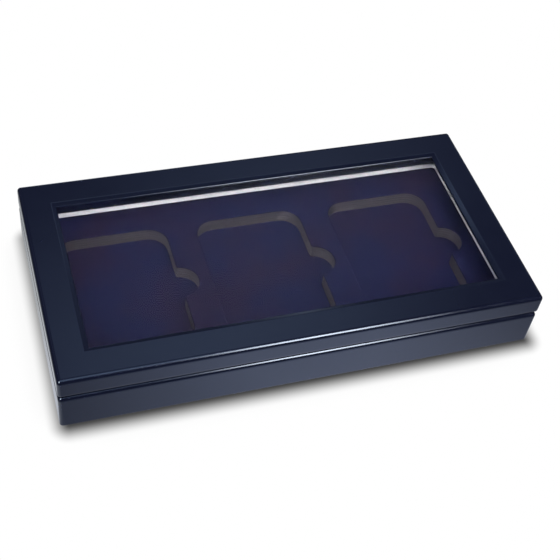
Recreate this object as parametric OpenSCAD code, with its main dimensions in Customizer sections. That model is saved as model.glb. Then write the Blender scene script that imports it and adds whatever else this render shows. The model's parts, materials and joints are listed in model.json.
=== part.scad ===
// Coin display case: a shallow lacquered box with a glazed, hinged lid and a velvet insert
// that holds three coin slabs. X runs along the case, Y from front to back, Z up.
// The origin is on the underside, at the middle of the footprint.

/* [Case] */
// Outside width of the case
case_w = 264; // [258:1:300]
// Outside depth of the case, front to back
case_d = 137; // [128:1:170]
// Height of the lid rails
lid_h = 13.3; // [12.5:0.1:18]
// Height of the base walls
base_h = 22.9; // [21:0.1:32]
// Gap between the lid and the base when the lid is shut
shut_gap = 0.9; // [0.5:0.05:1.2]
// Radius of the upright corners
corner_r = 2; // [0.5:0.25:4]
// Thickness of the felt under the bottom panel
felt_t = 0.8; // [0.5:0.1:2]
// How far the felt stands below the walls
felt_proud = 0.2; // [0.1:0.05:0.5]
// Gap between the felt and the rabbet that it shares with the bottom panel
felt_fit = 0.5; // [0.1:0.1:2]

/* [Lid frame] */
// Width of each lid rail, seen from above
rail_w = 19; // [17:0.5:24]
// Round-over along the outer top edge
lid_edge_r = 2.35; // [0.5:0.05:4]
// Width of the bevel along the window edge
window_bevel_w = 2.6; // [1:0.1:4]
// Depth of the bevel along the window edge
window_bevel_h = 1.1; // [0.5:0.1:3]
// Round-over along the lower outer edge
lid_foot_r = 2.35; // [0.5:0.05:3]
// Depth from the top of the lid to the glass
lip_t = 2.5; // [2.3:0.1:6]
// Width of the rabbet that the glass sits in
rabbet_w = 6.5; // [4.5:0.25:8]

/* [Glass] */
// Thickness of the glass
glass_t = 2; // [1.5:0.25:3]
// Gap between the edge of the glass and the rabbet
glass_fit = 0.3; // [0.1:0.05:1]
// Radius of the quarter-round bead that keeps the glass in
bead_r = 3; // [1.5:0.25:4]

/* [Base] */
// Thickness of the base walls
wall_t = 6.5; // [6:0.25:9]
// Round-over along the upper outer edge
base_edge_r = 2.35; // [0.3:0.05:2.5]
// Round-over along the lower outer edge
base_foot_r = 0.4; // [0.2:0.1:2]
// Thickness of the bottom panel
panel_t = 3; // [2:0.25:4]
// How far the bottom panel reaches into the walls
panel_lap = 3.5; // [1.5:0.25:4]
// Gap between the bottom panel and its rabbet
panel_fit = 0.1; // [0.05:0.05:0.5]

/* [Corner keys] */
// Thickness of the keys that cross the lid mitres
lid_key_t = 2; // [1:0.25:3]
// Width of a lid key along the mitre
lid_key_w = 6; // [3:0.5:6]
// Length of a lid key across the mitre
lid_key_l = 9; // [5:0.5:9]
// Height of the middle of the lid keys above the lower face of the lid
lid_key_z = 4.3; // [2.5:0.1:6]
// Thickness of the upright keys in the base mitres
base_key_t = 1.5; // [1:0.25:2]
// Width of a base key across the mitre
base_key_w = 5; // [3:0.25:5]
// Height of a base key
base_key_h = 15; // [8:0.5:16]
// Glue gap round every key
key_fit = 0.05; // [0.02:0.01:0.1]

/* [Insert] */
// Thickness of the board under the recesses
board_t = 2; // [1:0.25:3]
// Thickness of the velvet on the board
floor_velvet_t = 0.9; // [0.5:0.1:1.5]
// Thickness of the foam core
foam_t = 7.8; // [5:0.1:9]
// Thickness of the velvet on the foam
top_velvet_t = 0.8; // [0.5:0.1:1.5]
// Gap between the insert and the walls
insert_fit = 0.2; // [0.1:0.05:0.5]
// Number of coin slab recesses
slab_count = 3; // [1:1:3]
// Foam left at each end of the row of recesses
end_land = 8.9; // [6:0.1:10]
// Width of a recess
slab_w = 62.5; // [60:0.5:65]
// Length of a recess
slab_l = 84; // [80:0.5:90]
// Corner radius of a recess
slab_r = 11; // [4:0.5:14]
// Radius of the finger notch beside each recess
notch_r = 10.3; // [6:0.1:12]
// Radius where the finger notch meets the recess
notch_blend_r = 1.5; // [0.5:0.25:3]

/* [Trim strip] */
// Height of the metal strip that stands on the insert
trim_h = 1.8; // [1.2:0.1:6]
// Thickness of its upright web
trim_t = 0.7; // [0.4:0.05:1]
// Width of its foot, measured from the wall
trim_foot_w = 2.2; // [1:0.1:3]
// Thickness of its foot
trim_foot_t = 0.5; // [0.4:0.05:1]
// Outer radius where it bends round the corners
trim_r = 4; // [2.5:0.25:6]
// Gap between the strip and the walls
trim_fit = 0.1; // [0.05:0.05:0.3]
// Gap where the two ends of the strip meet
trim_joint = 0.4; // [0.2:0.1:1]

/* [Hinges] */
// Distance of the middle of each hinge from the end of the case
hinge_end = 47; // [37:1:72]
// Length of a hinge
hinge_l = 24; // [18:0.5:40]
// Radius of the hinge barrel
barrel_r = 1.4; // [1.3:0.05:1.6]
// Distance from the back face to the hinge axis
axis_inset = 1.6; // [1.5:0.05:2]
// Thickness of the leaves
leaf_t = 0.9; // [0.6:0.05:1]
// Reach of a leaf above or below the axis
leaf_h = 8.5; // [7.5:0.25:9]
// Radius of the hinge pin
pin_r = 0.55; // [0.4:0.01:0.65]
// Running clearance round the hinge pin
pin_play = 0.05; // [0.02:0.01:0.1]
// Side gap between the knuckles
knuckle_gap = 0.15; // [0.1:0.05:0.4]
// Room cut round the barrel
barrel_room = 0.3; // [0.2:0.05:0.5]
// Gap between a leaf and its saw kerf
kerf_fit = 0.05; // [0.02:0.01:0.1]
// Width of the bevel along the back edges, which lets the lid swing
back_bevel = 2.4; // [2.2:0.1:3]

/* [Brads] */
// Radius of a brad shank
brad_r = 0.5; // [0.3:0.05:0.6]
// Radius of a brad head
brad_head_r = 0.8; // [0.65:0.05:1]
// Thickness of a brad head
brad_head_t = 0.4; // [0.2:0.05:0.8]
// Distance of the brads from the hinge axis, up or down
brad_z = 6; // [4.5:0.25:6.5]
// Distance between the two brads of a leaf
brad_pitch = 14; // [8:0.5:16]
// How far a brad reaches past its leaf
brad_past = 0.9; // [0.5:0.1:1.2]
// Gap round a brad
brad_fit = 0.03; // [0.01:0.01:0.05]

/* [Magnets] */
// Distance of the middle of each magnet from the end of the case
magnet_end = 72; // [22:1:112]
// Radius of a magnet
magnet_r = 1.5; // [1:0.25:1.5]
// Thickness of a magnet
magnet_t = 2; // [1:0.25:3]
// How far each magnet stands proud, so that the magnets carry the front of the lid
magnet_proud = 0.4; // [0.1:0.05:0.45]
// Glue gap round a magnet
magnet_fit = 0.05; // [0.02:0.01:0.1]

/* [Hidden] */
$fn = 64;

lacquer = [0.09, 0.12, 0.2];
velvet = [0.14, 0.14, 0.32];
foam_grey = [0.35, 0.33, 0.32];
silver = [0.8, 0.8, 0.84];
brass = [0.78, 0.62, 0.3];

// A cut reaches this far past the face that it opens
past = 1;

// Heights
base_z = felt_proud;
base_top = base_z + base_h;
lid_z = base_top + shut_gap;
lid_top = lid_z + lid_h;
glass_z = lid_top - lip_t - glass_t;
board_z = felt_t + panel_t;
floor_z = board_z + board_t;
foam_z = floor_z + floor_velvet_t;
velvet_z = foam_z + foam_t;
trim_z = velvet_z + top_velvet_t;

// Hinges
hinge_x = case_w / 2 - hinge_end;
axis_y = case_d / 2 - axis_inset;
axis_z = base_top + shut_gap / 2;
leaf_y = axis_y - barrel_r;
knuckle_l = (hinge_l - 2 * knuckle_gap) / 3;
tab_h = barrel_r + barrel_room;

// Inside of the base walls
room_w = case_w - 2 * wall_t;
room_d = case_d - 2 * wall_t;

// Window rabbet
pocket_w = case_w - 2 * (rail_w - rabbet_w);
pocket_d = case_d - 2 * (rail_w - rabbet_w);

// The insert; its recesses and their notches are centred together
insert_w = room_w - 2 * insert_fit;
insert_d = room_d - 2 * insert_fit;
insert_x = -notch_r / 2;
slab_pitch = (insert_w - 2 * end_land - slab_w - notch_r) / max(slab_count - 1, 1);

magnet_x = case_w / 2 - magnet_end;
magnet_round = max(base_edge_r, lid_foot_r);
magnet_y = -case_d / 2 + magnet_round + (wall_t - magnet_round) / 2;
base_magnet_z = base_top + magnet_proud - magnet_t;
lid_magnet_z = lid_z - magnet_proud;

// Rectangle with true round corners
module round_rect(w, d, r) {
    square([w - 2 * r, d], center = true);
    square([w, d - 2 * r], center = true);
    for (sx = [-1, 1], sy = [-1, 1])
        translate([sx * (w / 2 - r), sy * (d / 2 - r)]) circle(r);
}

// What is cut off a square corner at the origin, which points down and left, to round it
module corner_waste(r) {
    difference() {
        translate([-past, -past]) square(r + past);
        translate([r, r]) circle(r);
    }
}

// Prism that trims every outer piece to the round plan corners
module plan_block() {
    translate([0, 0, -past]) linear_extrude(lid_top + 2 * past) round_rect(case_w, case_d, corner_r);
}

// Long wedge that bevels the back edges, round the plane of the joint
module back_wedge() {
    rotate([90, 0, 90]) translate([0, 0, -case_w / 2 - past]) linear_extrude(case_w + 2 * past)
        polygon([
            [case_d / 2 - back_bevel, base_top], [case_d / 2, base_top - back_bevel],
            [case_d / 2 + past, base_top - back_bevel - past],
            [case_d / 2 + past, lid_z + back_bevel + past],
            [case_d / 2, lid_z + back_bevel], [case_d / 2 - back_bevel, lid_z]
        ]);
}

// Puts a piece made for the front side on another side; the piece lies along X with its
// outer face on Y = 0 and its inner face on the +Y side
module on_side(side) {
    turn = side == "front" ? 0 : side == "left" ? -90 : side == "right" ? 90 : 180;
    reach = side == "front" || side == "back" ? case_d / 2 : case_w / 2;
    rotate([0, 0, turn]) translate([0, -reach, 0]) children();
}

function side_length(side) = side == "front" || side == "back" ? case_w : case_d;

// A moulding with mitred ends; the children give its profile, X inwards and Y up
module mitred(side, depth, z, h) {
    len = side_length(side);
    on_side(side) translate([0, 0, z]) intersection() {
        rotate([90, 0, 90]) translate([0, 0, -len / 2]) linear_extrude(len) children();
        translate([0, 0, -past]) linear_extrude(h + 2 * past)
            polygon([
                [-len / 2, 0], [len / 2, 0],
                [len / 2 - depth - past, depth + past], [-len / 2 + depth + past, depth + past]
            ]);
    }
}

module lid_profile() {
    difference() {
        square([rail_w, lid_h]);
        translate([0, lid_h]) mirror([0, 1]) corner_waste(lid_edge_r);
        polygon([
            [rail_w - window_bevel_w, lid_h], [rail_w, lid_h - window_bevel_h],
            [rail_w + past, lid_h - window_bevel_h], [rail_w + past, lid_h + past],
            [rail_w - window_bevel_w, lid_h + past]
        ]);
        corner_waste(lid_foot_r);
        translate([rail_w - rabbet_w, -past]) square([rabbet_w + past, lid_h - lip_t + past]);
    }
}

module base_profile() {
    difference() {
        square([wall_t, base_h]);
        translate([0, base_h]) mirror([0, 1]) corner_waste(base_edge_r);
        corner_waste(base_foot_r);
        translate([wall_t - panel_lap, -past]) square([panel_lap + past, board_z - base_z + past]);
    }
}

// Keys across the lid mitres, grown by gap to make their slots
module lid_keys(gap) {
    middle = (rail_w - rabbet_w) / 2;
    for (sx = [-1, 1], sy = [-1, 1])
        translate([sx * (case_w / 2 - middle), sy * (case_d / 2 - middle), lid_z + lid_key_z])
            rotate([0, 0, -sx * sy * 45])
                cube([lid_key_l + 2 * gap, lid_key_w + 2 * gap, lid_key_t + 2 * gap], center = true);
}

// Keys in the base mitres, grown by gap to make their slots
module base_keys(gap) {
    middle = wall_t / 2;
    for (sx = [-1, 1], sy = [-1, 1])
        translate([sx * (case_w / 2 - middle), sy * (case_d / 2 - middle), board_z + base_key_h / 2])
            rotate([0, 0, -sx * sy * 45])
                cube([base_key_w + 2 * gap, base_key_t + 2 * gap, base_key_h + 2 * gap], center = true);
}

// Magnets under the lid or in the base, grown by gap to make their pockets
module magnets(z, gap) {
    for (sx = [-1, 1])
        translate([sx * magnet_x, magnet_y, z - gap]) cylinder(h = magnet_t + 2 * gap, r = magnet_r + gap);
}

// Cylinder along X, centred on x
module rod(x, l, r) {
    translate([x - l / 2, axis_y, axis_z]) rotate([0, 90, 0]) cylinder(h = l, r = r);
}

// Brads of one side of both hinges, driven towards +Y from face_y at height z
module brads(face_y, z, gap) {
    reach = leaf_y + leaf_t + brad_past - face_y;
    for (sx = [-1, 1], sb = [-1, 1])
        translate([sx * hinge_x + sb * brad_pitch / 2, face_y, z]) rotate([-90, 0, 0]) {
            cylinder(h = reach + gap, r = brad_r + gap);
            cylinder(h = brad_head_t + gap, r = brad_head_r + gap);
        }
}

module base_hinge_brads(gap) {
    brads(case_d / 2 - wall_t, axis_z - brad_z, gap);
}

module lid_hinge_brads(gap) {
    brads(case_d / 2 - rail_w + rabbet_w, axis_z + brad_z, gap);
}

// Room for the barrels and the saw kerfs for the leaves, in both back pieces
module hinge_cuts() {
    for (sx = [-1, 1]) {
        rod(sx * hinge_x, hinge_l + 2 * barrel_room, barrel_r + barrel_room);
        translate([
            sx * hinge_x - hinge_l / 2 - kerf_fit, leaf_y - kerf_fit, axis_z - leaf_h - kerf_fit
        ]) cube([hinge_l + 2 * kerf_fit, leaf_t + 2 * kerf_fit, 2 * (leaf_h + kerf_fit)]);
    }
}

module lid_rail(side) {
    intersection() {
        mitred(side, rail_w, lid_z, lid_h) lid_profile();
        plan_block();
    }
}

module base_wall(side) {
    intersection() {
        mitred(side, wall_t, base_z, base_h) base_profile();
        plan_block();
    }
}

module glass_bead(side) {
    mitred(side, rail_w, glass_z - bead_r, bead_r)
        translate([rail_w - rabbet_w, bead_r]) intersection() {
            circle(bead_r);
            translate([0, -bead_r]) square(bead_r);
        }
}

// Leaf of a hinge; up is 1 for the lid and -1 for the base
module leaf(x, up) {
    middle = up > 0;
    difference() {
        union() {
            translate([x - hinge_l / 2, leaf_y, up > 0 ? axis_z + tab_h : axis_z - leaf_h])
                cube([hinge_l, leaf_t, leaf_h - tab_h]);
            for (k = middle ? [0] : [-1, 1]) {
                at = x + k * (knuckle_l + knuckle_gap);
                rod(at, knuckle_l, barrel_r);
                translate([at - knuckle_l / 2, leaf_y, up > 0 ? axis_z : axis_z - tab_h])
                    cube([knuckle_l, leaf_t, tab_h]);
            }
        }
        rod(x, hinge_l + 2 * past, pin_r + pin_play);
        if (middle) lid_hinge_brads(brad_fit);
        else base_hinge_brads(brad_fit);
    }
}

// Plan of one recess with its finger notch on the right, blended by small rounds
module recess_plan() {
    edge = slab_w / 2;
    // The blend circle touches the side of the recess and the notch circle
    blend_y = sqrt(pow(notch_r + notch_blend_r, 2) - pow(notch_blend_r, 2));
    round_rect(slab_w, slab_l, slab_r);
    translate([edge, 0]) circle(notch_r);
    difference() {
        translate([edge - notch_r, -blend_y]) square([notch_r + notch_blend_r, 2 * blend_y]);
        for (s = [-1, 1]) translate([edge + notch_blend_r, s * blend_y]) circle(notch_blend_r);
    }
}

module recesses() {
    for (i = [0 : slab_count - 1])
        translate([insert_x + (i - (slab_count - 1) / 2) * slab_pitch, 0]) recess_plan();
}

// One layer of the insert
module layer(z, t) {
    translate([0, 0, z]) linear_extrude(t) square([insert_w, insert_d], center = true);
}

module base_wall_front() {
    color(lacquer) difference() {
        base_wall("front");
        base_keys(key_fit);
        magnets(base_magnet_z, magnet_fit);
    }
}

module base_wall_back() {
    color(lacquer) difference() {
        base_wall("back");
        base_keys(key_fit);
        back_wedge();
        hinge_cuts();
        base_hinge_brads(brad_fit);
    }
}

module base_wall_end(side) {
    color(lacquer) difference() {
        base_wall(side);
        base_keys(key_fit);
        back_wedge();
    }
}

module base_wall_left() {
    base_wall_end("left");
}

module base_wall_right() {
    base_wall_end("right");
}

module base_corner_keys() {
    color("tan") base_keys(0);
}

module base_panel() {
    lap = panel_lap - panel_fit;
    color(lacquer) translate([0, 0, felt_t]) linear_extrude(panel_t)
        square([room_w + 2 * lap, room_d + 2 * lap], center = true);
}

module base_felt() {
    lap = panel_lap - felt_fit;
    color("midnightblue") linear_extrude(felt_t)
        square([room_w + 2 * lap, room_d + 2 * lap], center = true);
}

module floor_board() {
    color("dimgray") layer(board_z, board_t);
}

module floor_velvet() {
    color(velvet) layer(floor_z, floor_velvet_t);
}

module foam_core() {
    color(foam_grey) difference() {
        layer(foam_z, foam_t);
        translate([0, 0, foam_z - past]) linear_extrude(foam_t + 2 * past) recesses();
    }
}

module velvet_top() {
    color(velvet) difference() {
        layer(velvet_z, top_velvet_t);
        translate([0, 0, velvet_z - past]) linear_extrude(top_velvet_t + 2 * past) recesses();
    }
}

module trim_strip() {
    w = room_w - 2 * trim_fit;
    d = room_d - 2 * trim_fit;
    color(silver) translate([0, 0, trim_z]) difference() {
        linear_extrude(trim_h) round_rect(w, d, trim_r);
        translate([0, 0, trim_foot_t]) linear_extrude(trim_h)
            round_rect(w - 2 * trim_t, d - 2 * trim_t, trim_r - trim_t);
        translate([0, 0, -past]) linear_extrude(trim_h + 2 * past)
            round_rect(w - 2 * trim_foot_w, d - 2 * trim_foot_w, trim_r - trim_foot_w);
        translate([-trim_joint / 2, -d, -past]) cube([trim_joint, d, trim_h + 2 * past]);
    }
}

module base_magnets() {
    color(silver) magnets(base_magnet_z, 0);
}

module base_hinge_leaf_left() {
    color(brass) leaf(-hinge_x, -1);
}

module base_hinge_leaf_right() {
    color(brass) leaf(hinge_x, -1);
}

module hinge_pin_left() {
    color(brass) rod(-hinge_x, hinge_l, pin_r);
}

module hinge_pin_right() {
    color(brass) rod(hinge_x, hinge_l, pin_r);
}

module base_brads() {
    color(brass) base_hinge_brads(0);
}

module lid_rail_front() {
    color(lacquer) difference() {
        lid_rail("front");
        lid_keys(key_fit);
        magnets(lid_magnet_z, magnet_fit);
    }
}

module lid_rail_back() {
    color(lacquer) difference() {
        lid_rail("back");
        lid_keys(key_fit);
        back_wedge();
        hinge_cuts();
        lid_hinge_brads(brad_fit);
    }
}

module lid_rail_end(side) {
    color(lacquer) difference() {
        lid_rail(side);
        lid_keys(key_fit);
        back_wedge();
    }
}

module lid_rail_left() {
    lid_rail_end("left");
}

module lid_rail_right() {
    lid_rail_end("right");
}

module lid_corner_keys() {
    color("tan") lid_keys(0);
}

module glass_pane() {
    color("white", 0.25) translate([0, 0, glass_z]) linear_extrude(glass_t)
        square([pocket_w - 2 * glass_fit, pocket_d - 2 * glass_fit], center = true);
}

module glass_bead_front() {
    color(lacquer) glass_bead("front");
}

module glass_bead_back() {
    color(lacquer) glass_bead("back");
}

module glass_bead_left() {
    color(lacquer) glass_bead("left");
}

module glass_bead_right() {
    color(lacquer) glass_bead("right");
}

module lid_magnets() {
    color(silver) magnets(lid_magnet_z, 0);
}

module lid_hinge_leaf_left() {
    color(brass) leaf(-hinge_x, 1);
}

module lid_hinge_leaf_right() {
    color(brass) leaf(hinge_x, 1);
}

module lid_brads() {
    color(brass) lid_hinge_brads(0);
}

base_wall_front();
base_wall_back();
base_wall_left();
base_wall_right();
base_corner_keys();
base_panel();
base_felt();
floor_board();
floor_velvet();
foam_core();
velvet_top();
trim_strip();
base_magnets();
base_hinge_leaf_left();
base_hinge_leaf_right();
hinge_pin_left();
hinge_pin_right();
base_brads();
lid_rail_front();
lid_rail_back();
lid_rail_left();
lid_rail_right();
lid_corner_keys();
glass_pane();
glass_bead_front();
glass_bead_back();
glass_bead_left();
glass_bead_right();
lid_magnets();
lid_hinge_leaf_left();
lid_hinge_leaf_right();
lid_brads();
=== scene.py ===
import json
from math import atan2, cos, degrees, pi, radians, sin, sqrt, tan

import bmesh
import bpy
import numpy as np
from mathutils import Matrix, Vector, geometry, noise


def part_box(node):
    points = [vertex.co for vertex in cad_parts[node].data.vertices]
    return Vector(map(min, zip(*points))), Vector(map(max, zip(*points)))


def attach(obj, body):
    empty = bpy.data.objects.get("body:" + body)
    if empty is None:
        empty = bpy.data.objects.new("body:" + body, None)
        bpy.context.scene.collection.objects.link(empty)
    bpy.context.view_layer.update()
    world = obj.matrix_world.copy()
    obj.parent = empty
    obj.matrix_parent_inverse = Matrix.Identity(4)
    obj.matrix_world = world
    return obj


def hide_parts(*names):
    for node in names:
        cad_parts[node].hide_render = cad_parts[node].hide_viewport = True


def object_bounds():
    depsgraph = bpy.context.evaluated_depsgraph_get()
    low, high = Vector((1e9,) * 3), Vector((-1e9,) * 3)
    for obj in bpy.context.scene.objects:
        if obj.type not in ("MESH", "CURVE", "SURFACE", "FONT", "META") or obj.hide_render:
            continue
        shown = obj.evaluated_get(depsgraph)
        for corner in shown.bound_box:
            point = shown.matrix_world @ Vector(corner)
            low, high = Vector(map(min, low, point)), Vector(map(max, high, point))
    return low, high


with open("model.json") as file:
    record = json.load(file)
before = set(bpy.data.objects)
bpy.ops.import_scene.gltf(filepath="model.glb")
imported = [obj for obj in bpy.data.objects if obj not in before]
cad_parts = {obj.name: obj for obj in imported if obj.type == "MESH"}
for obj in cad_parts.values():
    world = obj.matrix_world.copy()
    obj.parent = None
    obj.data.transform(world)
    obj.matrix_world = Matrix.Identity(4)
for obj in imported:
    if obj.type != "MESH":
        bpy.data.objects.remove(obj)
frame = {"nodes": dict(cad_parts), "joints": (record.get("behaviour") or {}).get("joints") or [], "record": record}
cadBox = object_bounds()
scene = bpy.context.scene
nodes = frame["nodes"]
mm = 0.001

# sizes that the frame holds
caseLow, caseHigh = cadBox
caseWidth, caseDepth = (caseHigh - caseLow).xy
lidLow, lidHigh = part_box("lid_rail_front")
wallLow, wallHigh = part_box("base_wall_front")
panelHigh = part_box("base_panel")[1]
foamLow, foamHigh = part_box("foam_core")
railWidth = lidHigh.y - lidLow.y
wallWidth = wallHigh.y - wallLow.y
sides = ("front", "back", "left", "right")

# one camera, fitted to the edges of the case in the photo
cameraFit = {
    "azimuth": -23.91,
    "elevation": 48.71,
    "roll": 9.32,
    "target": (0.00622, 0.00275, 0.0),
    "distance": 0.6161,
    "focalPixels": 1062.75,
    "framePixels": 560,
    "sensor": 36.0,
}


def addCamera(fit):
    az, el, roll = (radians(fit[k]) for k in ("azimuth", "elevation", "roll"))
    back = Vector((sin(az) * cos(el), -cos(az) * cos(el), sin(el)))
    right = Vector((0, 0, 1)).cross(back).normalized()
    up = back.cross(right)
    turnedRight = cos(roll) * right + sin(roll) * up
    turnedUp = cos(roll) * up - sin(roll) * right
    data = bpy.data.cameras.new("camera")
    data.sensor_width = fit["sensor"]
    data.lens = fit["focalPixels"] / fit["framePixels"] * fit["sensor"]
    data.clip_start = 0.01
    camera = bpy.data.objects.new("camera", data)
    place = Matrix((turnedRight, turnedUp, back)).transposed().to_4x4()
    place.translation = Vector(fit["target"]) + back * fit["distance"]
    camera.matrix_world = place
    scene.collection.objects.link(camera)
    scene.camera = camera


addCamera(cameraFit)
print("camera placed")


# how finely the meshes are made
meshing = {
    "weld": 1e-6,  # points nearer than this become one
    "smoothAngle": 35,  # degrees, a sharper edge stays hard
    "sheetAngle": 50,
    "rodSides": 40,
    "planTolerance": 1e-8,
    "shakePace": (3.71, 5.33),  # through the noise, from one inner point of a sheet to the next
    "shake": 0.3,  # how far such a point strays, as a share of the spacing
    "rimClear": 0.4,  # how far it keeps from the last rim, likewise
}


def addPiece(name, points, faces, smoothAngle=meshing["smoothAngle"]):
    mesh = bpy.data.meshes.new(name)
    mesh.from_pydata(points, [], faces)
    welded = bmesh.new()
    welded.from_mesh(mesh)
    bmesh.ops.remove_doubles(welded, verts=welded.verts, dist=meshing["weld"])
    bmesh.ops.recalc_face_normals(welded, faces=welded.faces)
    welded.to_mesh(mesh)
    welded.free()
    piece = bpy.data.objects.new(name, mesh)
    scene.collection.objects.link(piece)
    smooth(piece, smoothAngle)
    return piece


def smooth(piece, angle):
    piece.data.polygons.foreach_set("use_smooth", [True] * len(piece.data.polygons))
    piece.data.set_sharp_from_angle(angle=radians(angle))


def arc(cx, cy, radius, start, end, steps):
    turns = [radians(start + (end - start) * k / steps) for k in range(steps + 1)]
    return [(cx + radius * cos(a), cy + radius * sin(a)) for a in turns]


def roundRect(width, depth, radius, steps):
    # starts at the middle of the front side and runs to the right
    points = [(0, -depth / 2)]
    for sx, sy, start in ((1, -1, -90), (1, 1, 0), (-1, 1, 90), (-1, -1, 180)):
        cx, cy = sx * (width / 2 - radius), sy * (depth / 2 - radius)
        points += arc(cx, cy, radius, start, start + 90, steps)
    return points


def roundedProfile(corners, steps=7, guard=0.12 * mm):
    # corners are (inset, height, radius); a guard point beside each round keeps the flats flat
    profile = []
    for k, (x, y, radius) in enumerate(corners):
        here = Vector((x, y))
        if radius == 0:
            profile.append(here)
            continue
        toward = [(Vector(corners[k - 1][:2]) - here).normalized(),
                  (Vector(corners[(k + 1) % len(corners)][:2]) - here).normalized()]
        half = toward[0].angle(toward[1]) / 2
        reach = radius / tan(half)
        centre = here + (toward[0] + toward[1]).normalized() * radius / sin(half)
        ends = [here + t * reach for t in toward]
        start, end = (atan2(*(e - centre).yx) for e in ends)
        turn = (end - start + pi) % (2 * pi) - pi
        profile.append(ends[0] + toward[0] * guard)
        profile += [Vector(p) for p in
                    arc(*centre, radius, degrees(start), degrees(start + turn), steps)]
        profile.append(ends[1] + toward[1] * guard)
    return [tuple(p) for p in profile]


def sweptRing(name, profile, width, depth, cornerRadius, lift, steps=8, gap=0):
    # the profile is (inset from the outer face, height); with a gap the two ends stay apart
    points = []
    for inset, height in profile:
        radius = max(cornerRadius - inset, 0)
        ring = roundRect(width - 2 * inset, depth - 2 * inset, radius, steps)
        if gap:
            ring = [(gap / 2, ring[0][1])] + ring[1:] + [(-gap / 2, ring[0][1])]
        points += [(x, y, lift + height) for x, y in ring]
    count = len(points) // len(profile)
    faces = []
    for r in range(len(profile)):
        below, above = r * count, (r + 1) % len(profile) * count
        for k in range(count - 1 if gap else count):
            n = (k + 1) % count
            faces.append((below + k, below + n, above + n, above + k))
    if gap:
        faces.append([r * count for r in range(len(profile))])
        faces.append([r * count + count - 1 for r in reversed(range(len(profile)))])
    return addPiece(name, points, faces)


def cut(piece, cutters):
    # each cutter is a function that draws a closed shape into a bmesh
    for draw in cutters:
        shape = bmesh.new()
        draw(shape)
        mesh = bpy.data.meshes.new("cutter")
        shape.to_mesh(mesh)
        shape.free()
        cutter = bpy.data.objects.new("cutter", mesh)
        scene.collection.objects.link(cutter)
        modifier = piece.modifiers.new("cut", "BOOLEAN")
        modifier.operation, modifier.solver, modifier.object = "DIFFERENCE", "EXACT", cutter
        bpy.context.view_layer.objects.active = piece
        bpy.ops.object.modifier_apply(modifier=modifier.name)
        bpy.data.objects.remove(cutter)
        bpy.data.meshes.remove(mesh)
    smooth(piece, meshing["smoothAngle"])


def boxShape(low, high):
    def draw(shape):
        size, middle = Vector(high) - Vector(low), (Vector(high) + Vector(low)) / 2
        bmesh.ops.create_cube(shape, size=1,
                              matrix=Matrix.Translation(middle) @ Matrix.Diagonal((*size, 1)))
    return draw


def rodShape(middle, length, radius, axis):
    def draw(shape):
        turn = Vector(axis).to_track_quat("Z", "Y").to_matrix().to_4x4()
        bmesh.ops.create_cone(shape, cap_ends=True, segments=meshing["rodSides"],
                              radius1=radius, radius2=radius, depth=length,
                              matrix=Matrix.Translation(middle) @ turn)
    return draw


def prismShape(outline, left, right):
    # the outline is (y, z), and the prism runs along X
    def draw(shape):
        ends = [[shape.verts.new((x, y, z)) for y, z in outline] for x in (left, right)]
        shape.faces.new(ends[0])
        shape.faces.new(list(reversed(ends[1])))
        for k in range(len(outline)):
            n = (k + 1) % len(outline)
            shape.faces.new((ends[0][n], ends[0][k], ends[1][k], ends[1][n]))
        bmesh.ops.recalc_face_normals(shape, faces=shape.faces)
    return draw


def insideLoop(points, loop):
    # a point is inside if a line from it along +X crosses an odd number of sides
    x, y = points[:, 0:1], points[:, 1:2]
    ax, ay = np.array(loop).T
    bx, by = np.roll(np.array(loop), -1, 0).T
    spans = (ay > y) != (by > y)
    rise = np.where(by == ay, 1, by - ay)  # a level side is never crossed
    crossing = ax + (y - ay) * (bx - ax) / rise
    return (spans & (x < crossing)).sum(1) % 2 == 1


def insideOutline(points, loops):
    # within the first loop, and outside the others, which are holes
    inside = insideLoop(points, loops[0])
    for hole in loops[1:]:
        inside &= ~insideLoop(points, hole)
    return inside


def loopDistance(points, loops):
    nearest = np.full(len(points), np.inf)
    for loop in loops:
        a = np.array(loop)
        along = np.roll(a, -1, 0) - a
        away = points[:, None] - a
        t = np.clip((away * along).sum(2) / (along ** 2).sum(1), 0, 1)
        gaps = np.linalg.norm(away - t[..., None] * along, axis=2)
        nearest = np.minimum(nearest, gaps.min(1))
    return nearest


def offsetLoop(loop, inset):
    # moves every point of an anticlockwise loop towards its inside
    a = np.array(loop)
    along = np.roll(a, -1, 0) - np.roll(a, 1, 0)
    normal = np.stack([-along[:, 1], along[:, 0]], 1)
    return a + inset * normal / np.linalg.norm(normal, axis=1)[:, None]


def ringEdges(first, count):
    return [(first + k, first + (k + 1) % count) for k in range(count)]


def fillOutline(points, edges, loops):
    # flat triangles between all the points, without those that lie in a hole
    found = geometry.delaunay_2d_cdt([Vector(p) for p in points], edges, [], 0,
                                     meshing["planTolerance"])
    plan, triangles = (np.array([tuple(item) for item in found[k]]) for k in (0, 2))
    return plan, triangles[insideOutline(plan[triangles].mean(1), loops)]


def innerPoints(loops, spacing, lastRim):
    # a loose grid over the outline, clear of its rims
    low, high = np.min(loops[0], 0), np.max(loops[0], 0)
    columns, rows = (int((high[k] - low[k]) / spacing) + 1 for k in (0, 1))
    stray, (paceX, paceY) = meshing["shake"], meshing["shakePace"]
    grid = []
    for i in range(columns):
        for j in range(rows):
            shake = noise.noise_vector(Vector((i * paceX, j * paceY, 0.5)))
            grid.append((low[0] + (i + 0.5 + stray * shake.x) * spacing,
                         low[1] + (j + 0.5 + stray * shake.y) * spacing))
    grid = np.array(grid)
    clear = loopDistance(grid, loops) > lastRim + meshing["rimClear"] * spacing
    return [tuple(p) for p in grid[insideOutline(grid, loops) & clear]]


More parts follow.
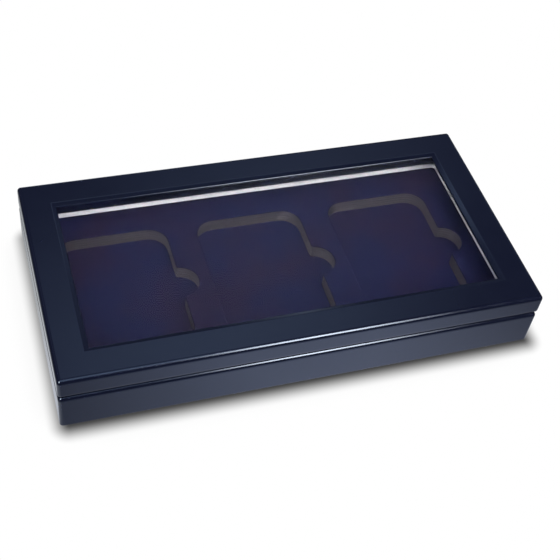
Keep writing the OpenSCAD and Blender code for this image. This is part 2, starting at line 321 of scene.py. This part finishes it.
def cutSheet(name, loops, spacing, rims, topHeight, bottom):
    # top and bottom of a flat layer with holes, joined along every cut edge
    points, edges = [], []
    for k, loop in enumerate(loops):
        for rim in [0] + rims:
            ring = offsetLoop(loop, rim if k == 0 else -rim) if rim else loop
            edges += ringEdges(len(points), len(ring))
            points += [tuple(p) for p in ring]
    points += innerPoints(loops, spacing, rims[-1])
    plan, triangles = fillOutline(points, edges, loops)
    top = [(x, y, z) for (x, y), z in zip(plan, topHeight(plan, loops[1:]))]
    count = len(plan)
    faces = [tuple(t) for t in triangles] + [tuple(count + t[::-1]) for t in triangles]
    # a side that no neighbour runs along the other way lies on a rim
    directed = [side for a, b, c in triangles for side in ((a, b), (b, c), (c, a))]
    known = set(directed)
    faces += [(a, b, count + b, count + a) for a, b in directed if (b, a) not in known]
    return addPiece(name, top + [(x, y, bottom) for x, y in plan], faces, meshing["sheetAngle"])


def relief(plan, size, height, seed=0.0):
    return np.array([height * noise.noise(Vector((x / size, y / size, seed))) for x, y in plan])


def newMaterial(name):
    material = bpy.data.materials.new(name)
    material.use_nodes = True
    return material, material.node_tree.nodes["Principled BSDF"]


def addNode(owner, kind, **settings):
    # the owner is a material or the world
    node = owner.node_tree.nodes.new(kind)
    for key, value in settings.items():
        setattr(node, key, value)
    return node


def join(owner, output, socket):
    owner.node_tree.links.new(output, socket)


def setSockets(node, values):
    for name, value in values.items():
        node.inputs[name].default_value = value


def grain(material, scale, detail=2.0, roughness=0.5, stretch=(1, 1, 1)):
    # noise in the case's own metres, as many blobs to the metre as scale says
    place = addNode(material, "ShaderNodeTexCoord")
    mapping = addNode(material, "ShaderNodeMapping")
    setSockets(mapping, {"Scale": stretch})
    texture = addNode(material, "ShaderNodeTexNoise")
    setSockets(texture, {"Scale": scale, "Detail": detail, "Roughness": roughness})
    join(material, place.outputs["Object"], mapping.inputs["Vector"])
    join(material, mapping.outputs["Vector"], texture.inputs["Vector"])
    return texture.outputs["Fac"]


def ramp(material, value, stops):
    node = addNode(material, "ShaderNodeValToRGB")
    elements = node.color_ramp.elements
    while len(elements) < len(stops):
        elements.new(0.5)
    for element, (place, colour) in zip(elements, stops):
        element.position = place
        element.color = (*colour, 1)
    join(material, value, node.inputs["Fac"])
    return node.outputs["Color"]


noiseSpan = (0.3, 0.7)  # nearly all of a noise lies between these


def twoTone(material, value, look, span=noiseSpan):
    return ramp(material, value, [(span[0], look["dark"]), (span[1], look["light"])])


def remap(owner, value, came, goes, curve="LINEAR"):
    # the two ends as they come in and as they go out
    node = addNode(owner, "ShaderNodeMapRange", interpolation_type=curve)
    setSockets(node, {"From Min": came[0], "From Max": came[1],
                      "To Min": goes[0], "To Max": goes[1]})
    join(owner, value, node.inputs["Value"])
    return node.outputs["Result"]


def bump(material, value, distance, strength=1.0, below=None):
    node = addNode(material, "ShaderNodeBump")
    setSockets(node, {"Strength": strength, "Distance": distance})
    join(material, value, node.inputs["Height"])
    if below is not None:
        join(material, below, node.inputs["Normal"])
    return node.outputs["Normal"]


def chooseByRay(owner, ray, others, these):
    # one shader for the rays of one kind, another for all others
    path = addNode(owner, "ShaderNodeLightPath")
    mixed = addNode(owner, "ShaderNodeMixShader")
    join(owner, path.outputs[ray], mixed.inputs["Fac"])
    join(owner, others, mixed.inputs[1])
    join(owner, these, mixed.inputs[2])
    return mixed.outputs["Shader"]


navyLacquer = {
    "dark": (0.0068, 0.0082, 0.0225),
    "light": (0.0085, 0.0105, 0.0270),
    "roughness": (0.10, 0.15),
    "ior": 1.5,
    "tint": (0.62, 0.78, 1.0, 1),
    "cloudScale": 22,
    "smearScale": 90,
    "peelScale": 420,
    "peelHeight": 0.0000035,
}


def makeLacquer(look):
    material, shader = newMaterial("navy_lacquer")
    cloud = grain(material, look["cloudScale"], detail=3)
    smear = grain(material, look["smearScale"], detail=3)
    peel = grain(material, look["peelScale"])
    join(material, twoTone(material, cloud, look), shader.inputs["Base Color"])
    join(material, remap(material, smear, noiseSpan, look["roughness"]),
         shader.inputs["Roughness"])
    join(material, bump(material, peel, look["peelHeight"]), shader.inputs["Normal"])
    setSockets(shader, {"IOR": look["ior"], "Specular Tint": look["tint"]})
    return material


velvetLook = {
    "violet": (0.0118, 0.0088, 0.0235),
    "blue": (0.0078, 0.0088, 0.0300),
    "patchScale": 26,
    "patchSpan": (0.38, 0.60),
    "sheenTint": (0.36, 0.38, 0.85, 1),
    "sheen": 0.05,
    "sheenRoughness": 0.45,
    "napScale": 1500,
    "napStops": [(0.25, (0.72, 0.72, 0.75)), (0.75, (1.25, 1.25, 1.22))],
    "napHeight": 0.00012,
    "napStrength": 0.6,
}


def makeVelvet(look):
    material, shader = newMaterial("velvet")
    patch = grain(material, look["patchScale"], detail=4, roughness=0.6)
    nap = grain(material, look["napScale"], detail=3, roughness=0.7)
    start, end = look["patchSpan"]
    shade = addNode(material, "ShaderNodeMix", data_type="RGBA", blend_type="MULTIPLY")
    setSockets(shade, {"Factor": 1})
    join(material, ramp(material, patch, [(start, look["violet"]), (end, look["blue"])]),
         shade.inputs["A"])
    join(material, ramp(material, nap, look["napStops"]), shade.inputs["B"])
    join(material, shade.outputs["Result"], shader.inputs["Base Color"])
    join(material, bump(material, nap, look["napHeight"], look["napStrength"]),
         shader.inputs["Normal"])
    setSockets(shader, {"Roughness": 1.0, "Specular IOR Level": 0.0, "Sheen Weight": look["sheen"],
                        "Sheen Roughness": look["sheenRoughness"],
                        "Sheen Tint": look["sheenTint"]})
    return material


foamLook = {
    "dark": (0.036, 0.033, 0.040),
    "light": (0.062, 0.056, 0.067),
    "span": (0.2, 0.75),
    "roughness": 0.95,
    "specular": 0.05,
    "layerPeriod": 1.9 * mm,
    "layerShare": 0.45,  # of the layers in the pattern, the rest is cells
    "layerWander": 1.6,
    "cellScale": 900,
    "cellHeight": 0.0002,
    "cellStrength": 0.7,
}
bandLength = 0.314  # of the wave texture at scale 1


def makeFoam(look):
    material, shader = newMaterial("foam")
    place = addNode(material, "ShaderNodeTexCoord")
    layers = addNode(material, "ShaderNodeTexWave", wave_type="BANDS", bands_direction="Z")
    setSockets(layers, {"Scale": bandLength / look["layerPeriod"], "Detail": 3.0,
                        "Distortion": look["layerWander"], "Detail Scale": 0.35})
    join(material, place.outputs["Object"], layers.inputs["Vector"])
    cells = grain(material, look["cellScale"], detail=3, roughness=0.7)
    mixed = addNode(material, "ShaderNodeMix")
    setSockets(mixed, {"Factor": look["layerShare"]})
    join(material, cells, mixed.inputs["A"])
    join(material, layers.outputs["Fac"], mixed.inputs["B"])
    pattern = mixed.outputs["Result"]
    join(material, twoTone(material, pattern, look, look["span"]), shader.inputs["Base Color"])
    join(material, bump(material, pattern, look["cellHeight"], look["cellStrength"]),
         shader.inputs["Normal"])
    setSockets(shader, {"Roughness": look["roughness"], "Specular IOR Level": look["specular"]})
    return material


silverLook = {
    "dark": (0.60, 0.60, 0.64),
    "light": (0.72, 0.72, 0.75),
    "span": (0.35, 0.65),
    "roughness": (0.32, 0.46),
    "metallic": 0.1,
    "speckScale": 1400,
    "speckStrength": 0.5,
    "lineStretch": (60, 60, 1600),
    "lineStrength": 0.6,
    "relief": 0.00003,
}


def makeSilver(look):
    material, shader = newMaterial("silver_trim")
    lines = grain(material, 1.0, detail=4, roughness=0.7, stretch=look["lineStretch"])
    specks = grain(material, look["speckScale"], roughness=0.6)
    join(material, twoTone(material, specks, look, look["span"]), shader.inputs["Base Color"])
    join(material, remap(material, lines, noiseSpan, look["roughness"]),
         shader.inputs["Roughness"])
    below = bump(material, specks, look["relief"], look["speckStrength"])
    join(material, bump(material, lines, look["relief"], look["lineStrength"], below),
         shader.inputs["Normal"])
    setSockets(shader, {"Metallic": look["metallic"]})
    return material


glassLook = {
    "ior": 1.5,
    "tint": (0.97, 0.985, 1.0, 1),
    "mirror": (0.05, 0.05, 0.05, 1),
    "shadow": (0.9, 0.9, 0.9, 1),
}


def makeGlass(look):
    material, shader = newMaterial("glass")
    setSockets(shader, {"Roughness": 0.0, "IOR": look["ior"], "Base Color": look["tint"],
                        "Transmission Weight": 1.0, "Specular Tint": look["mirror"]})
    # lamps reach what lies behind the glass
    clear = addNode(material, "ShaderNodeBsdfTransparent")
    setSockets(clear, {"Color": look["shadow"]})
    surface = chooseByRay(material, "Is Shadow Ray", shader.outputs["BSDF"],
                          clear.outputs["BSDF"])
    join(material, surface, material.node_tree.nodes["Material Output"].inputs["Surface"])
    return material


metalLooks = {
    "brass": {"dark": (0.62, 0.43, 0.17), "light": (0.78, 0.58, 0.27), "roughness": (0.22, 0.38)},
    "magnet": {"dark": (0.60, 0.59, 0.57), "light": (0.74, 0.73, 0.71), "roughness": (0.14, 0.26)},
}
brushing = {
    "stretch": (200, 2500, 2500),
    "height": 0.00002,
    "strength": 0.3,
}


def makeMetal(name, look, brush):
    material, shader = newMaterial(name)
    lines = grain(material, 1.0, detail=3, roughness=0.6, stretch=brush["stretch"])
    join(material, twoTone(material, lines, look), shader.inputs["Base Color"])
    join(material, remap(material, lines, noiseSpan, look["roughness"]),
         shader.inputs["Roughness"])
    join(material, bump(material, lines, brush["height"], brush["strength"]),
         shader.inputs["Normal"])
    setSockets(shader, {"Metallic": 1.0})
    return material


mattLooks = {
    "key_wood": {"dark": (0.42, 0.28, 0.15), "light": (0.60, 0.43, 0.26), "roughness": 0.7,
                 "scale": 1.0, "stretch": (120, 900, 900), "height": 0.00005},
    "panel_wood": {"dark": (0.012, 0.015, 0.034), "light": (0.018, 0.022, 0.046),
                   "roughness": 0.5, "scale": 260, "stretch": (1, 1, 1), "height": 0.00005},
    "board": {"dark": (0.20, 0.19, 0.19), "light": (0.27, 0.26, 0.26), "roughness": 0.9,
              "scale": 500, "stretch": (1, 1, 1), "height": 0.00005},
    "felt": {"dark": (0.010, 0.012, 0.030), "light": (0.024, 0.027, 0.058), "roughness": 1.0,
             "scale": 1100, "stretch": (1, 1, 1), "height": 0.0002},
}
mattStrength = 0.6


def makeMatt(name, look):
    material, shader = newMaterial(name)
    value = grain(material, look["scale"], detail=4, roughness=0.6, stretch=look["stretch"])
    join(material, twoTone(material, value, look), shader.inputs["Base Color"])
    join(material, bump(material, value, look["height"], mattStrength), shader.inputs["Normal"])
    setSockets(shader, {"Roughness": look["roughness"]})
    return material


finishes = {
    "navy_lacquer": makeLacquer(navyLacquer),
    "velvet": makeVelvet(velvetLook),
    "foam": makeFoam(foamLook),
    "silver_trim": makeSilver(silverLook),
    "glass": makeGlass(glassLook),
    **{name: makeMetal(name, look, brushing) for name, look in metalLooks.items()},
    **{name: makeMatt(name, look) for name, look in mattLooks.items()},
}
print("finishes ready")


def finish(piece, slot, body, *replaced):
    piece.data.materials.clear()
    piece.data.materials.append(finishes[slot])
    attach(piece, body)
    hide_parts(*replaced)


# what the two shells leave open for the hinges and the magnets
hingeRoom = {
    "kerfFit": 0.05 * mm,
    "leafThick": 0.9 * mm,
    "barrelRoom": 0.3 * mm,
    "knuckleFit": 0.3 * mm,
    "magnetFit": 0.06 * mm,
    "bevel": 2.4 * mm,
    "past": 1 * mm,
}
joint = next(j for j in frame["joints"] if j["name"] == "lid_hinge")
axisY = joint["pos_m"][1]


def hingeCuts(room):
    cuts = []
    fit = room["kerfFit"]
    for side in ("left", "right"):
        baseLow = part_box("base_hinge_leaf_" + side)[0]
        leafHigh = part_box("lid_hinge_leaf_" + side)[1]
        pinLow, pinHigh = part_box("hinge_pin_" + side)
        barrel = axisY - baseLow.y + room["barrelRoom"]
        length = pinHigh.x - pinLow.x + 2 * room["knuckleFit"]
        kerfBack = baseLow.y + room["leafThick"] + fit
        cuts.append(rodShape((pinLow + pinHigh) / 2, length, barrel, (1, 0, 0)))
        cuts.append(boxShape((pinLow.x - fit, baseLow.y - fit, baseLow.z - fit),
                             (pinHigh.x + fit, kerfBack, leafHigh.z + fit)))
    return cuts


def backWedge(room):
    back, bevel, past = caseHigh.y, room["bevel"], room["past"]
    outline = [(back - bevel, wallHigh.z), (back, wallHigh.z - bevel),
               (back + past, wallHigh.z - bevel - past), (back + past, lidLow.z + bevel + past),
               (back, lidLow.z + bevel), (back - bevel, lidLow.z)]
    return prismShape(outline, caseLow.x - past, caseHigh.x + past)


def magnetCuts(node, room):
    low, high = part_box(node)
    radius = (high.y - low.y) / 2
    fit = room["magnetFit"]
    cuts = []
    for x in (low.x + radius, high.x - radius):
        middle = Vector((x, (low.y + high.y) / 2, (low.z + high.z) / 2))
        cuts.append(rodShape(middle, high.z - low.z + 2 * fit, radius + fit, (0, 0, 1)))
    return cuts


lidShape = {
    "cornerRadius": 2 * mm,
    "footRadius": 2.35 * mm,
    "edgeRadius": 2.35 * mm,
    "bevelWidth": 2.6 * mm,
    "bevelDepth": 1.1 * mm,
    "bevelTopRadius": 1.2 * mm,
    "bevelFootRadius": 0.6 * mm,
    "arris": 0.2 * mm,
    "rabbetWidth": 6.5 * mm,
    "lipDepth": 2.5 * mm,
}


def makeLidFrame(shape, room):
    height = lidHigh.z - lidLow.z
    rabbet = railWidth - shape["rabbetWidth"]
    lip = height - shape["lipDepth"]
    profile = roundedProfile([
        (0, 0, shape["footRadius"]),
        (0, height, shape["edgeRadius"]),
        (railWidth - shape["bevelWidth"], height, shape["bevelTopRadius"]),
        (railWidth, height - shape["bevelDepth"], shape["bevelFootRadius"]),
        (railWidth, lip, shape["arris"]),
        (rabbet, lip, 0),
        (rabbet, 0, shape["arris"]),
    ])
    piece = sweptRing("lid_frame", profile, caseWidth, caseDepth, shape["cornerRadius"], lidLow.z)
    cut(piece, [backWedge(room)] + hingeCuts(room) + magnetCuts("lid_magnets", room))
    finish(piece, "navy_lacquer", "lid", *["lid_rail_" + side for side in sides])


baseShape = {
    "cornerRadius": 2 * mm,
    "footRadius": 0.4 * mm,
    "edgeRadius": 2.35 * mm,
    "arris": 0.3 * mm,
    "panelLap": 3.5 * mm,
}


def makeBaseFrame(shape, room):
    height = wallHigh.z - wallLow.z
    panelTop = panelHigh.z - wallLow.z
    lap = wallWidth - shape["panelLap"]
    profile = roundedProfile([
        (0, 0, shape["footRadius"]),
        (0, height, shape["edgeRadius"]),
        (wallWidth, height, shape["arris"]),
        (wallWidth, panelTop, 0),
        (lap, panelTop, 0),
        (lap, 0, 0),
    ])
    piece = sweptRing("base_frame", profile, caseWidth, caseDepth, shape["cornerRadius"], wallLow.z)
    cut(piece, [backWedge(room)] + hingeCuts(room) + magnetCuts("base_magnets", room))
    finish(piece, "navy_lacquer", "base", *["base_wall_" + side for side in sides])


makeLidFrame(lidShape, hingeRoom)
makeBaseFrame(baseShape, hingeRoom)
print("lid and base frames made")

insertShape = {
    "recessWidth": 62.5 * mm,
    "recessLength": 84 * mm,
    "recessRadius": 11 * mm,
    "notchRadius": 10.3 * mm,
    "blendRadius": 1.5 * mm,
    "endLand": 8.9 * mm,
    "recesses": 3,
    "cornerSteps": 12,
    "blendSteps": 5,
    "sideStep": 3 * mm,
}


def straight(start, end, step):
    # points between two ends, without them
    count = int((Vector(end) - Vector(start)).length / step)
    return [tuple(Vector(start).lerp(Vector(end), k / (count + 1))) for k in range(1, count + 1)]


def recessLoop(cx, shape):
    halfW, halfL = shape["recessWidth"] / 2, shape["recessLength"] / 2
    r, notch, blend = shape["recessRadius"], shape["notchRadius"], shape["blendRadius"]
    steps, blendSteps = shape["cornerSteps"], shape["blendSteps"]
    blendY = sqrt((notch + blend) ** 2 - blend ** 2)
    tilt = degrees(atan2(blendY, blend))
    parts = [
        arc(halfW - r, -halfL + r, r, -90, 0, steps),
        arc(halfW + blend, -blendY, blend, 180, 180 - tilt, blendSteps),
        arc(halfW, 0, notch, -tilt, tilt, 2 * steps),
        arc(halfW + blend, blendY, blend, 180 + tilt, 180, blendSteps),
        arc(halfW - r, halfL - r, r, 0, 90, steps),
        arc(-halfW + r, halfL - r, r, 90, 180, steps),
        arc(-halfW + r, -halfL + r, r, 180, 270, steps),
    ]
    loop = []
    for k, part in enumerate(parts):
        following = parts[(k + 1) % len(parts)][0]
        if loop and (Vector(loop[-1]) - Vector(part[0])).length < meshing["weld"]:
            part = part[1:]
        loop += part + straight(part[-1], following, shape["sideStep"])
    return [(cx + x, y) for x, y in loop]


def insertLoops(shape):
    # the outermost recess and the outermost notch keep the same land from the insert's ends
    width = foamHigh.x - foamLow.x
    pitch = width - 2 * shape["endLand"] - shape["recessWidth"] - shape["notchRadius"]
    pitch /= shape["recesses"] - 1
    middle = (shape["recesses"] - 1) / 2
    return [recessLoop(-shape["notchRadius"] / 2 + (k - middle) * pitch, shape)
            for k in range(shape["recesses"])]


def rectLoop(low, high, step):
    corners = [(low.x, low.y), (high.x, low.y), (high.x, high.y), (low.x, high.y)]
    loop = []
    for k, corner in enumerate(corners):
        loop += [corner] + straight(corner, corners[(k + 1) % 4], step)
    return loop


recessLoops = insertLoops(insertShape)

velvetTopShape = {
    "spacing": 2.6 * mm,
    "edgeStep": 4 * mm,
    "rims": [0.2 * mm, 0.45 * mm, 0.9 * mm],
    "edgeDrop": 0.34 * mm,
    "edgeReach": 0.42 * mm,
    "pillow": 0.07 * mm,
    "pillowSize": 17 * mm,
}


def makeVelvetTop(shape):
    low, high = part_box("velvet_top")

    def topHeight(plan, holes):
        edge = loopDistance(plan, holes)
        drop = shape["edgeDrop"] * np.clip(1 - edge / shape["edgeReach"], 0, 1) ** 2
        return high.z - shape["pillow"] - drop + relief(plan, shape["pillowSize"], shape["pillow"])

    loops = [rectLoop(low, high, shape["edgeStep"])] + recessLoops
    piece = cutSheet("velvet_face", loops, shape["spacing"], shape["rims"], topHeight, low.z)
    finish(piece, "velvet", "base", "velvet_top")


foamShape = {
    "edgeStep": 6 * mm,
    "layerStep": 0.65 * mm,
    "layerJog": 0.05 * mm,
    "jogEvery": 3,  # layers
    "ragged": 0.05 * mm,
    "raggedScale": 300,
    "raggedPace": 1.7,  # through the noise, from one layer to the next
}


def makeFoamInsert(shape):
    low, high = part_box("foam_core")
    levels = int(round((high.z - low.z) / shape["layerStep"]))
    scale, pace = shape["raggedScale"], shape["raggedPace"]
    loops = [rectLoop(low, high, shape["edgeStep"])] + recessLoops
    points, faces = [], []
    for index, loop in enumerate(loops):
        first, count = len(points), len(loop)
        # a cut wall stays within the foam, so it only steps back from the recess
        outward = offsetLoop(loop, -1) - np.array(loop)
        for level in range(levels + 1):
            z = low.z + (high.z - low.z) * level / levels
            jog = shape["layerJog"] * (level % shape["jogEvery"] == 1)
            for (x, y), (outX, outY) in zip(loop, outward):
                back = 0
                if index and 0 < level < levels:
                    wander = noise.noise(Vector((x * scale, y * scale, level * pace + index)))
                    back = jog + shape["ragged"] * abs(wander)
                points.append((x + outX * back, y + outY * back, z))
        for level in range(levels):
            a, b = first + level * count, first + (level + 1) * count
            faces += [(a + k, a + n, b + n, b + k) for k, n in ringEdges(0, count)]
    # flat faces above and below
    corners, edges = [], []
    for loop in loops:
        edges += ringEdges(len(corners), len(loop))
        corners += loop
    plan, triangles = fillOutline(corners, edges, loops)
    for z in (low.z, high.z):
        start = len(points)
        points += [(x, y, z) for x, y in plan]
        faces += [tuple(start + t) for t in triangles]
    piece = addPiece("foam_insert", points, faces)
    finish(piece, "foam", "base", "foam_core")


def makeSlab(name, low, high, shape):
    def topHeight(plan, holes):
        pillow = shape["pillow"]
        return high.z - pillow + relief(plan, shape["pillowSize"], pillow, shape["seed"])

    loops = [rectLoop(low, high, shape["edgeStep"])]
    return cutSheet(name, loops, shape["spacing"], shape["rims"], topHeight, low.z)


floorShape = {
    "spacing": 2.6 * mm,
    "edgeStep": 4 * mm,
    "rims": [0.3 * mm, 0.8 * mm],
    "pillow": 0.08 * mm,
    "pillowSize": 14 * mm,
    "seed": 3.3,
}


def makeVelvetFloor(shape):
    low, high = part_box("floor_velvet")
    piece = makeSlab("velvet_floor", low, high, shape)
    finish(piece, "velvet", "base", "floor_velvet")


feltShape = {
    "spacing": 5 * mm,
    "edgeStep": 4 * mm,
    "rims": [0.3 * mm, 0.8 * mm],
    "pillow": 0.05 * mm,
    "pillowSize": 9 * mm,
    "seed": 7.9,
}


def makeFelt(shape):
    low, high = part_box("base_felt")
    piece = makeSlab("felt_pad", low, high, shape)
    finish(piece, "felt", "base", "base_felt")


makeFoamInsert(foamShape)
makeVelvetTop(velvetTopShape)
makeVelvetFloor(floorShape)
makeFelt(feltShape)
print("insert and felt made")

stripShape = {
    "cornerRadius": 4 * mm,
    "cornerSteps": 10,
    "gap": 0.4 * mm,
    "crown": 0.35 * mm,
    "footWidth": 1.8 * mm,
    "footThick": 0.3 * mm,
    "roundRadius": 0.12 * mm,
    "roundSteps": 5,
    "guard": 0.03 * mm,
}


def makeStrip(shape):
    low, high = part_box("trim_strip")
    height = high.z - low.z
    profile = roundedProfile([
        (0, 0, 0),
        (0, height, shape["roundRadius"]),
        (shape["crown"], height, shape["roundRadius"]),
        (shape["footWidth"], shape["footThick"], shape["roundRadius"]),
        (shape["footWidth"], 0, 0),
    ], shape["roundSteps"], shape["guard"])
    piece = sweptRing("silver_strip", profile, high.x - low.x, high.y - low.y,
                      shape["cornerRadius"], low.z, shape["cornerSteps"], shape["gap"])
    finish(piece, "silver_trim", "base", "trim_strip")


makeStrip(stripShape)
print("silver strip made")

# the rest are the frame's own pieces, which only get their finish
for node in frame["record"]["subparts"]:
    piece = nodes[node["node"]]
    material = finishes[node["material_slot"]]
    for slot in piece.material_slots:
        slot.material = material
print("frame pieces finished")

studio = {
    "fill": 0.52,
    "ceiling": (0.05, 0.06, 0.115),
    "floorColour": (0.9, 0.9, 0.9, 1),
    "floorRoughness": 0.9,
    "floorReach": 6,
    # painted light on the floor as polished surfaces mirror it: a painted pool of light in front and one at the
    # left
    "poolMiddle": (0.010, -0.095, 0),
    "poolReach": (0.195, 0.16),
    "poolStops": [(0.0, (0.05, 0.06, 0.07)), (0.35, (0.46, 0.49, 0.60)),
                  (0.8, (1.02, 1.10, 1.40))],
    "sideMiddle": (-0.170, 0.02, 0),
    "sideReach": (0.050, 0.16),
    "sideStops": [(0.0, (0, 0, 0)), (0.12, (0.42, 0.43, 0.44)), (0.5, (0.62, 0.63, 0.64))],
    # painted shadow on the floor: the dark rim round the footprint and the contact shade near the case
    "shadowShift": (0.0014, -0.003),
    "shadowGrow": -0.0035,
    "shadowReach": 0.0125,
    "shadowDark": 0.06,
    "contactReach": 0.03,
    "contactSamples": 16,
    "contactStops": [(0.42, (0.88, 0.88, 0.88)), (0.80, (1, 1, 1))],
    "lamps": {
        # direction from the case, distance, width, height, brightness
        "key": ((0.02, -0.50, 0.866), 1.3, 0.30, 0.30, 14),
        "overhead": ((-0.12, -0.16, 0.98), 1.4, 0.80, 0.80, 1.0),
    },
    "glows": {
        # what polished surfaces mirror, by the X and Y of its direction:
        # middle, even part and reach along X, the same along Y, colour
        "strip_light": ((0.290, -0.515), (0.0, 0.165), (0.17, 0.285), (38, 34, 31)),
        "side_light": ((-0.50, -0.42), (0.06, 0.34), (0.06, 0.30), (30, 28, 26)),
        "overhead": ((0.0, -0.22), (0.0, 0.44), (0.15, 0.50), (1.55, 1.80, 2.15)),
        "rear_card": ((0.18, 0.52), (0.0, 0.34), (0.02, 0.235), (0.64, 0.74, 0.92)),
        "rear_low": ((0.28, 0.72), (0.0, 0.26), (0.0, 0.22), (0.14, 0.17, 0.22)),
        "rear_left": ((-0.38, 0.56), (0.0, 0.30), (0.0, 0.30), (0.17, 0.18, 0.25)),
        "rear_right": ((0.70, 0.65), (0.0, 0.24), (0.0, 0.30), (0.12, 0.16, 0.21)),
        "horizon": ((0.28, 1.0), (0.10, 0.50), (0.01, 0.08), (1.0, 1.2, 1.5)),
    },
}


def addLamp(name, direction, distance, width, height, brightness):
    data = bpy.data.lights.new(name, "AREA")
    data.shape = "RECTANGLE"
    data.size, data.size_y = width, height
    data.energy = brightness * pi * width * height
    lamp = bpy.data.objects.new(name, data)
    lamp.visible_glossy = False
    toward = Vector(direction).normalized()
    lamp.location = toward * distance
    lamp.rotation_euler = toward.to_track_quat("Z", "Y").to_euler()
    scene.collection.objects.link(lamp)

def addFade(world, along, middle, core, reach):
    offset = addNode(world, "ShaderNodeMath", operation="SUBTRACT")
    offset.inputs[1].default_value = middle
    size = addNode(world, "ShaderNodeMath", operation="ABSOLUTE")
    join(world, along, offset.inputs[0])
    join(world, offset.outputs["Value"], size.inputs[0])
    return remap(world, size.outputs["Value"], (core, reach), (1.0, 0.0), "SMOOTHERSTEP")


def makeWorld(look):
    world = bpy.data.worlds.new("studio")
    scene.world = world
    world.use_nodes = True
    world.node_tree.nodes.clear()

    # polished surfaces mirror soft glows in a dim room instead of the lamps
    place = addNode(world, "ShaderNodeTexCoord")
    parts = addNode(world, "ShaderNodeSeparateXYZ")
    join(world, place.outputs["Generated"], parts.inputs["Vector"])
    light = None
    for (x, y), spanX, spanY, colour in look["glows"].values():
        both = addNode(world, "ShaderNodeMath", operation="MULTIPLY")
        join(world, addFade(world, parts.outputs["X"], x, *spanX), both.inputs[0])
        join(world, addFade(world, parts.outputs["Y"], y, *spanY), both.inputs[1])
        glow = addNode(world, "ShaderNodeVectorMath", operation="SCALE")
        glow.inputs[0].default_value = colour
        join(world, both.outputs["Value"], glow.inputs["Scale"])
        total = addNode(world, "ShaderNodeVectorMath", operation="ADD")
        join(world, glow.outputs["Vector"], total.inputs[0])
        if light is None:
            total.inputs[1].default_value = look["ceiling"]
        else:
            join(world, light, total.inputs[1])
        light = total.outputs["Vector"]
    mirror, fill, white = (addNode(world, "ShaderNodeBackground") for _ in range(3))
    join(world, light, mirror.inputs["Color"])
    setSockets(fill, {"Strength": look["fill"]})
    mirrored = chooseByRay(world, "Is Glossy Ray", fill.outputs["Background"],
                           mirror.outputs["Background"])
    seen = chooseByRay(world, "Is Camera Ray", mirrored, white.outputs["Background"])
    join(world, seen, addNode(world, "ShaderNodeOutputWorld").inputs["Surface"])


def paintedFloorShadow(material, look):
    # painted shadow: a soft dark rim drawn round the footprint by position, deepest at the front; no lamp casts it
    def add(operation, first, second=None):
        node = addNode(material, "ShaderNodeVectorMath", operation=operation)
        join(material, first, node.inputs[0])
        if second is not None:
            node.inputs[1].default_value = second
        return node.outputs["Value" if operation == "LENGTH" else "Vector"]

    place = addNode(material, "ShaderNodeTexCoord")
    grow = look["shadowGrow"]
    half = (caseWidth / 2 + grow, caseDepth / 2 + grow, 0)
    shift = (*look["shadowShift"], 0)
    away = add("ABSOLUTE", add("SUBTRACT", place.outputs["Object"], shift))
    out = add("LENGTH", add("MAXIMUM", add("SUBTRACT", away, half), (0, 0, 0)))
    return remap(material, out, (0.0, look["shadowReach"]), (look["shadowDark"], 1.0), "SMOOTHSTEP")


def paintedLightPool(material, look, name):
    # a painted pool of light: a bright round patch that fades to its edge
    place = addNode(material, "ShaderNodeTexCoord")
    mapping = addNode(material, "ShaderNodeMapping", vector_type="TEXTURE")
    setSockets(mapping, {"Location": look[name + "Middle"], "Scale": (*look[name + "Reach"], 1)})
    patch = addNode(material, "ShaderNodeTexGradient", gradient_type="SPHERICAL")
    join(material, place.outputs["Object"], mapping.inputs["Vector"])
    join(material, mapping.outputs["Vector"], patch.inputs["Vector"])
    return ramp(material, patch.outputs["Fac"], look[name + "Stops"])


def makeFloor(look):
    material, shader = newMaterial("studio_floor")
    setSockets(shader, {"Base Color": look["floorColour"], "Roughness": look["floorRoughness"]})
    # the floor shows white, apart from a painted shadow where the case stands: occlusion shade near the case times
    # the painted dark rim round its footprint
    contact = addNode(material, "ShaderNodeAmbientOcclusion", samples=look["contactSamples"])
    setSockets(contact, {"Distance": look["contactReach"]})
    shade = addNode(material, "ShaderNodeVectorMath", operation="SCALE")
    join(material, ramp(material, contact.outputs["AO"], look["contactStops"]), shade.inputs[0])
    join(material, paintedFloorShadow(material, look), shade.inputs["Scale"])
    glow = addNode(material, "ShaderNodeEmission")
    join(material, shade.outputs["Vector"], glow.inputs["Color"])
    # in a mirror it shows painted pools of light, bright in front and at the left of the case, and dim far from it
    pools = addNode(material, "ShaderNodeVectorMath", operation="ADD")
    join(material, paintedLightPool(material, look, "pool"), pools.inputs[0])
    join(material, paintedLightPool(material, look, "side"), pools.inputs[1])
    mirror = addNode(material, "ShaderNodeEmission")
    join(material, pools.outputs["Vector"], mirror.inputs["Color"])
    mirrored = chooseByRay(material, "Is Glossy Ray", shader.outputs["BSDF"],
                           mirror.outputs["Emission"])
    seen = chooseByRay(material, "Is Camera Ray", mirrored, glow.outputs["Emission"])
    join(material, seen, material.node_tree.nodes["Material Output"].inputs["Surface"])
    reach = look["floorReach"]
    corners = [(-reach, -reach, 0), (reach, -reach, 0), (reach, reach, 0), (-reach, reach, 0)]
    ground = addPiece("studio_floor", corners, [(0, 1, 2, 3)])
    ground.data.materials.append(material)


for lampName, settings in studio["lamps"].items():
    addLamp(lampName, *settings)
makeWorld(studio)
makeFloor(studio)
scene.view_settings.view_transform = "Standard"
print("studio ready")
